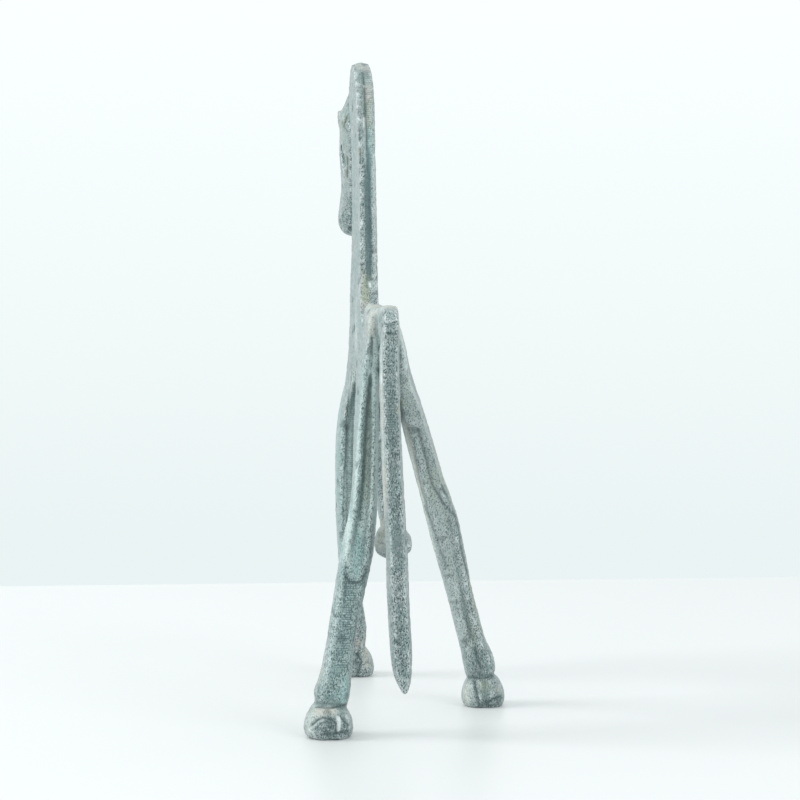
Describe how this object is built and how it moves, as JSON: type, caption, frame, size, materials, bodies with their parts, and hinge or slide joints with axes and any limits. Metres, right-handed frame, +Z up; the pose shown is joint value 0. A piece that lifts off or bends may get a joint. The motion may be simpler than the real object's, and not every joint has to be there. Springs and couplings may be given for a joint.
{
  "type": "bronze horse statuette",
  "caption": "Flat, long-legged standing horse cast in bronze, with an arched neck, a hanging head, channelled legs, a raised fore leg and a free hanging tail.",
  "frame": {"origin": "on the ground under the middle of the bounding box", "axes": "+X the way the horse faces, +Y its left, +Z up"},
  "size_m": [0.1746, 0.0894, 0.2816],
  "materials": {
    "patinated_bronze": "dry grey-green patina over cast bronze, paler on the rims and blue-green in the hollows"
  },
  "bodies": {
    "root": {"horse": "patinated_bronze"}
  },
  "joints": []
}
